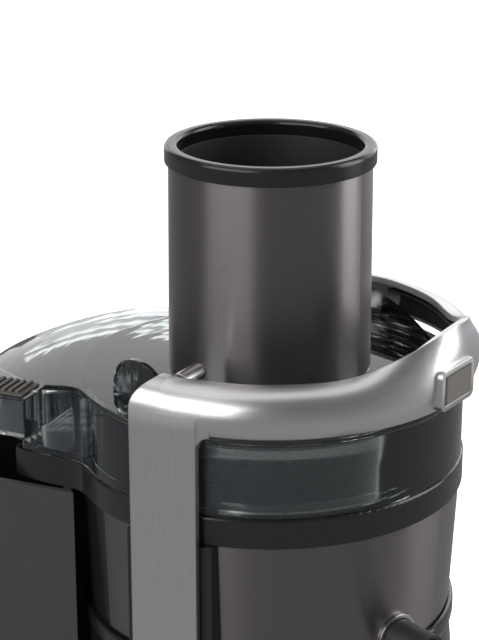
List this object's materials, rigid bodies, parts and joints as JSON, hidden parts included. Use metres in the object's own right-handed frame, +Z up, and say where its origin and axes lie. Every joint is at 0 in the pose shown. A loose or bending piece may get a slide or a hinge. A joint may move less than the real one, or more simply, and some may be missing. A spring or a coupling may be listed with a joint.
{
  "type": "centrifugal juicer",
  "caption": "Centrifugal juicer: motor base, smoked bowl and lid with a wide round feed chute, spinning basket, swing-over locking arm, dial, juice spout and slide-off pulp bin.",
  "frame": {"origin": "middle of the footprint's bounding box, at the level the feet and the pulp bin stand on", "axes": "+Z up, along the feed chute; +X the side the locking arm swings down to; -X the pulp side; -Y the side with the dial"},
  "size_m": [0.2638, 0.1873, 0.3665],
  "materials": {
    "black_gloss_plastic": "moulded, polished",
    "black_matte_plastic": "moulded, fine spark texture",
    "smoked_clear_plastic": "clear moulding with a grey-blue tint, polished",
    "black_stainless": "dark stainless sheet, brushed round the body",
    "brushed_stainless": "pressed sheet, brushed along its length",
    "satin_stainless": "satin",
    "rubber": "moulded, matte",
    "grey_grip": "soft moulding, matte",
    "plated_steel": "zinc plated, turned",
    "motor_iron": "stacked and varnished laminations",
    "motor_alloy": "die cast",
    "copper": "turned",
    "fan_plastic": "moulded",
    "pointer_paint": "moulded"
  },
  "bodies": {
    "base": {"base_housing": "black_gloss_plastic", "bottom_plate": "black_matte_plastic", "rubber_feet": "rubber", "base_screws": "plated_steel", "steel_cladding": "black_stainless", "spout_trim": "satin_stainless", "arm_guides": "black_gloss_plastic", "pivot_pins": "satin_stainless", "bowl_band": "black_gloss_plastic", "filter_bowl": "smoked_clear_plastic", "juice_spout": "black_matte_plastic", "motor_deck": "black_matte_plastic", "motor_stator": "motor_iron", "motor_lower_bracket": "motor_alloy", "motor_upper_bracket": "motor_alloy", "lower_bearing": "plated_steel", "upper_bearing": "plated_steel", "motor_bolts": "plated_steel", "motor_mounts": "rubber", "brush_holders": "black_matte_plastic", "cord_gland": "rubber", "control_switch": "black_matte_plastic", "dial_plate": "satin_stainless", "lid": "smoked_clear_plastic", "latch_bars": "satin_stainless", "lid_gasket": "rubber", "lid_grip_pad": "grey_grip", "chute_liner": "black_matte_plastic", "chute_sleeve": "black_stainless", "rim_ring": "black_gloss_plastic"},
    "spinner": {"motor_shaft": "plated_steel", "motor_rotor": "motor_iron", "commutator": "copper", "cooling_fan": "fan_plastic", "drive_coupling": "black_matte_plastic", "basket_hub": "black_matte_plastic", "grater_disc": "satin_stainless", "basket_nut": "satin_stainless", "filter_basket": "satin_stainless", "basket_rim": "satin_stainless"},
    "arm": {"locking_arm": "brushed_stainless", "arm_liner": "black_matte_plastic", "arm_grip_pad": "grey_grip", "pivot_caps": "satin_stainless"},
    "knob": {"control_knob": "black_gloss_plastic", "knob_pointer": "pointer_paint", "knob_shaft": "plated_steel"},
    "bin": {"pulp_bin": "black_matte_plastic", "bin_handle": "black_matte_plastic"}
  },
  "joints": [
    {"name": "spin", "type": "hinge", "parent": "base", "child": "spinner", "pos_m": [0.0233, 0.00015, 0.1], "axis": [0, 0, 1], "continuous": true},
    {"name": "arm_swing", "type": "hinge", "parent": "base", "child": "arm", "pos_m": [0.02585, 0.00015, 0.075], "axis": [0, 1, 0], "range_deg": [0, 75]},
    {"name": "knob_turn", "type": "hinge", "parent": "base", "child": "knob", "pos_m": [0.07099, -0.07618, 0.048], "axis": [0.5299, -0.848, 0], "range_deg": [0, 80]},
    {"name": "bin_slide", "type": "slide", "parent": "base", "child": "bin", "axis": [-0.9903, -0.1392, 0], "range_m": [0, 0.12]}
  ]
}
